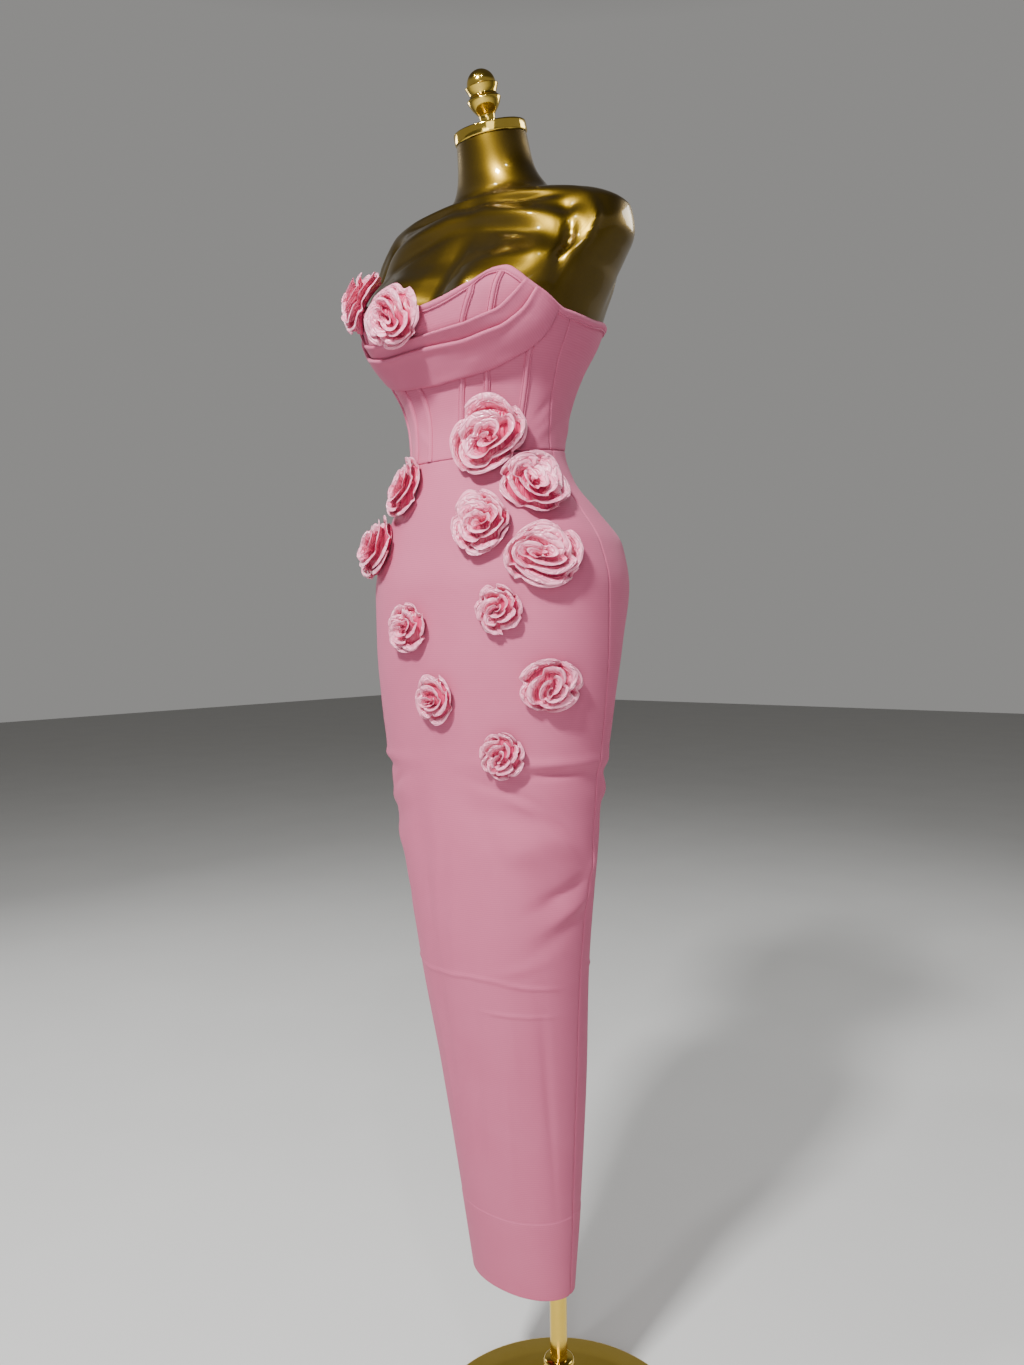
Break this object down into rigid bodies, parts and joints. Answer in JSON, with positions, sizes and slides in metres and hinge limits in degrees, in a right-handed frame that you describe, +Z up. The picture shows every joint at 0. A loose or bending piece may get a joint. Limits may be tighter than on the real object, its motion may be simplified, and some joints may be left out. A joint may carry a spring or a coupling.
{
  "type": "bodycon dress on a dress form with stand",
  "caption": "Strapless corset-bodice pencil dress with a draped bust and satin roses, worn by a limbless torso form on a pole and round base.",
  "frame": {"origin": "on the underside of the round base, on the middle plane of the dress, below the form's neck", "axes": "+Z up, -Y towards the front of the dress, +X towards the wearer's left"},
  "size_m": [0.4019, 0.3445, 1.6455],
  "materials": {
    "knit": "matt ribbed bandage knit, baby pink",
    "rose_satin": "glossy satin ribbon, pink",
    "gold_paint": "satin metallic gold paint on a moulded shell",
    "gold_plate": "polished gold plate"
  },
  "bodies": {
    "dress_on_form": {"bodice_back_right": "knit", "bodice_front_side_right": "knit", "bodice_front_mid_right": "knit", "bodice_front_centre": "knit", "bodice_front_mid_left": "knit", "bodice_front_side_left": "knit", "bodice_back_left": "knit", "channel_princess_left": "knit", "channel_princess_right": "knit", "channel_cup_left": "knit", "channel_cup_right": "knit", "channel_side_left": "knit", "channel_side_right": "knit", "neckline_band": "knit", "cowl_upper_fold": "knit", "cowl_lower_fold": "knit", "skirt_front": "knit", "skirt_back_left": "knit", "skirt_back_right": "knit", "rose_01": "rose_satin", "rose_02": "rose_satin", "rose_03": "rose_satin", "rose_04": "rose_satin", "rose_05": "rose_satin", "rose_06": "rose_satin", "rose_07": "rose_satin", "rose_08": "rose_satin", "rose_09": "rose_satin", "rose_10": "rose_satin", "rose_11": "rose_satin", "rose_12": "rose_satin", "rose_13": "rose_satin", "torso_form": "gold_paint", "neck_cap": "gold_plate", "finial": "gold_plate", "pole": "gold_plate", "stand_base": "gold_plate", "zip_slider": "gold_plate"},
    "zip_pull": {"zip_pull": "gold_plate"}
  },
  "joints": [
    {"name": "zip_pull_hinge", "type": "hinge", "parent": "dress_on_form", "child": "zip_pull", "pos_m": [0, 0.1016, 1.3288], "axis": [1, 0, 0], "range_deg": [0, 150]}
  ]
}
